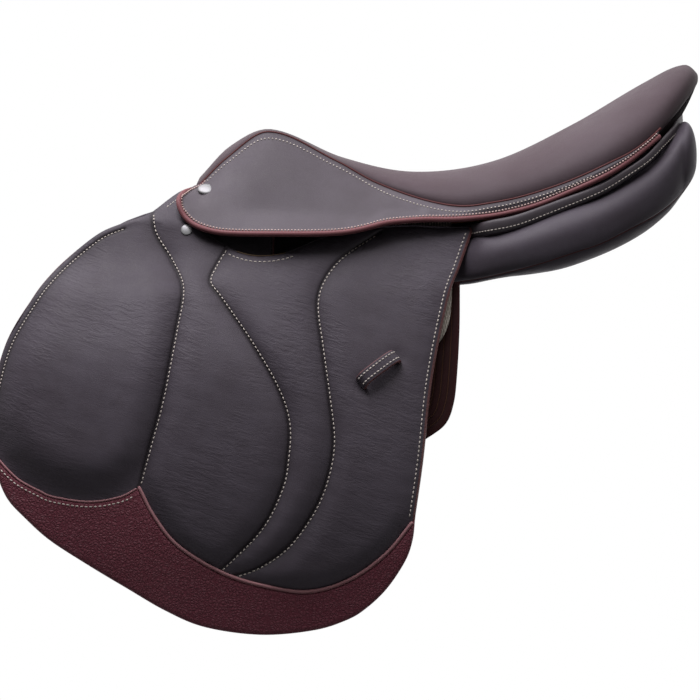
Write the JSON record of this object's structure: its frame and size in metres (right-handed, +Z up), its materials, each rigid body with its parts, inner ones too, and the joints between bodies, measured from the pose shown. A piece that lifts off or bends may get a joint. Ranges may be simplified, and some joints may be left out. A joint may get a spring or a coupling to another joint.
{
  "type": "jumping saddle",
  "caption": "Close-contact jumping saddle with lifting flaps and skirts, girth straps, stirrup bars with catches, knee blocks and stuffed panels.",
  "frame": {"origin": "middle of the horse's back that the saddle sits on: on the centre plane, level with the panels' bearing line at mid length", "axes": "+X to the back (cantle), +Y to the off (right) side, +Z up"},
  "size_m": [0.6086, 0.4316, 0.4727],
  "materials": {
    "dark_leather": "smooth calf, satin, dark brown",
    "wine_leather": "grained, wine red",
    "sweat_leather": "plain, dark wine",
    "steel": "brushed",
    "nail_metal": "polished",
    "beech": "bonded laminate",
    "webbing": "woven, natural",
    "foam": "open foam"
  },
  "bodies": {
    "saddle": {"tree_head": "beech", "tree_rail_left": "beech", "tree_rail_right": "beech", "tree_cantle": "beech", "head_plate": "steel", "head_rivets": "steel", "stirrup_bar_left": "steel", "stirrup_bar_right": "steel", "catch_pins": "steel", "bar_rivets": "steel", "seat_webbing": "webbing", "web_front_left": "webbing", "web_front_right": "webbing", "web_rear_left": "webbing", "web_rear_right": "webbing", "seat_foam": "foam", "seat_cover": "dark_leather", "cantle_back": "dark_leather", "cantle_facing": "dark_leather", "pommel_facing": "dark_leather", "gullet_cover": "dark_leather", "skirt_left": "dark_leather", "skirt_right": "dark_leather", "skirt_nails": "nail_metal", "flap_nails": "nail_metal", "flap_top_left": "dark_leather", "flap_top_right": "dark_leather", "knee_block_left": "dark_leather", "knee_block_right": "dark_leather", "sweat_flap_left": "sweat_leather", "sweat_flap_right": "sweat_leather", "panel_left": "dark_leather", "panel_right": "dark_leather", "point_pocket_left": "dark_leather", "point_pocket_right": "dark_leather"},
    "flap_left_body": {"flap_left": "dark_leather", "flap_trim_left": "wine_leather", "leather_keeper_left": "wine_leather"},
    "skirt_left_body": {"skirt_lobe_left": "dark_leather"},
    "catch_left_body": {"bar_catch_left": "steel"},
    "billet_front_left_body": {"billet_front_left": "dark_leather"},
    "billet_rear_left_body": {"billet_rear_left": "dark_leather"},
    "flap_right_body": {"flap_right": "dark_leather", "flap_trim_right": "wine_leather", "leather_keeper_right": "wine_leather"},
    "skirt_right_body": {"skirt_lobe_right": "dark_leather"},
    "catch_right_body": {"bar_catch_right": "steel"},
    "billet_front_right_body": {"billet_front_right": "dark_leather"},
    "billet_rear_right_body": {"billet_rear_right": "dark_leather"}
  },
  "joints": [
    {"name": "flap_lift_left", "type": "hinge", "parent": "saddle", "child": "flap_left_body", "pos_m": [-0.06, -0.1223, 0.026], "axis": [-1, 0, 0], "range_deg": [0, 100]},
    {"name": "skirt_lift_left", "type": "hinge", "parent": "saddle", "child": "skirt_left_body", "pos_m": [-0.19, -0.092, 0.077], "axis": [-0.9956, 0.0806, 0.0474], "range_deg": [0, 75]},
    {"name": "catch_turn_left", "type": "hinge", "parent": "saddle", "child": "catch_left_body", "pos_m": [-0.072, -0.0914, 0.06], "axis": [0, -1, 0], "range_deg": [0, 50]},
    {"name": "billet_front_swing_left", "type": "hinge", "parent": "saddle", "child": "billet_front_left_body", "pos_m": [-0.066, -0.14207, -0.045], "axis": [0, 0.9145, -0.4045], "range_deg": [-4, 10]},
    {"name": "billet_rear_swing_left", "type": "hinge", "parent": "saddle", "child": "billet_rear_left_body", "pos_m": [-0.014, -0.14207, -0.045], "axis": [0, 0.9145, -0.4045], "range_deg": [-4, 4]},
    {"name": "flap_lift_right", "type": "hinge", "parent": "saddle", "child": "flap_right_body", "pos_m": [-0.06, 0.1223, 0.026], "axis": [1, 0, 0], "range_deg": [0, 100]},
    {"name": "skirt_lift_right", "type": "hinge", "parent": "saddle", "child": "skirt_right_body", "pos_m": [-0.19, 0.092, 0.077], "axis": [0.9956, 0.0806, -0.0474], "range_deg": [0, 75]},
    {"name": "catch_turn_right", "type": "hinge", "parent": "saddle", "child": "catch_right_body", "pos_m": [-0.072, 0.0914, 0.06], "axis": [0, -1, 0], "range_deg": [0, 50]},
    {"name": "billet_front_swing_right", "type": "hinge", "parent": "saddle", "child": "billet_front_right_body", "pos_m": [-0.066, 0.14207, -0.045], "axis": [0, 0.9145, 0.4045], "range_deg": [-4, 10]},
    {"name": "billet_rear_swing_right", "type": "hinge", "parent": "saddle", "child": "billet_rear_right_body", "pos_m": [-0.014, 0.14207, -0.045], "axis": [0, 0.9145, 0.4045], "range_deg": [-4, 4]}
  ]
}
